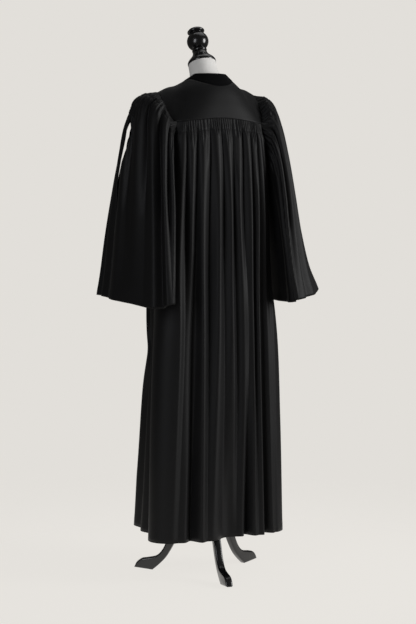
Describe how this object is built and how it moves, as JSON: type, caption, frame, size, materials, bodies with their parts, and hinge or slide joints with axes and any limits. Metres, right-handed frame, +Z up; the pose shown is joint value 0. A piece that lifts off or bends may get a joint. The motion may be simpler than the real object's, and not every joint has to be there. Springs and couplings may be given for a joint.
{
  "type": "clergy robe on a limbless dress form",
  "caption": "Black full-length clergy gown with fluted bell sleeves, gathered yoke and velvet neckband, worn by a white limbless dress form on a turned tripod stand.",
  "frame": {"origin": "on the floor, under the middle of the whole object's box", "axes": "+Z up; the robe faces -Y, its back +Y, and the wearer's left is +X"},
  "size_m": [0.722, 0.4376, 1.6825],
  "materials": {
    "robe_cloth": "soft satin-faced black suiting with a gentle sheen on its flutes",
    "robe_velvet": "deep black velvet pile",
    "form_jersey": "matt white knit jersey stretched over the form",
    "lacquered_wood": "black gloss lacquer",
    "stand_tube": "black satin enamel"
  },
  "bodies": {
    "root": {"yoke": "robe_cloth", "neckband": "robe_velvet", "back_panel": "robe_cloth", "front_left": "robe_cloth", "front_right": "robe_cloth", "front_placket": "robe_cloth", "sleeve_left_back": "robe_cloth", "sleeve_left_front": "robe_cloth", "sleeve_right_back": "robe_cloth", "sleeve_right_front": "robe_cloth", "form_torso": "form_jersey", "neck_cap": "lacquered_wood", "finial": "lacquered_wood", "hub": "lacquered_wood", "leg_1": "lacquered_wood", "leg_2": "lacquered_wood", "leg_3": "lacquered_wood", "pole": "stand_tube"}
  },
  "joints": []
}
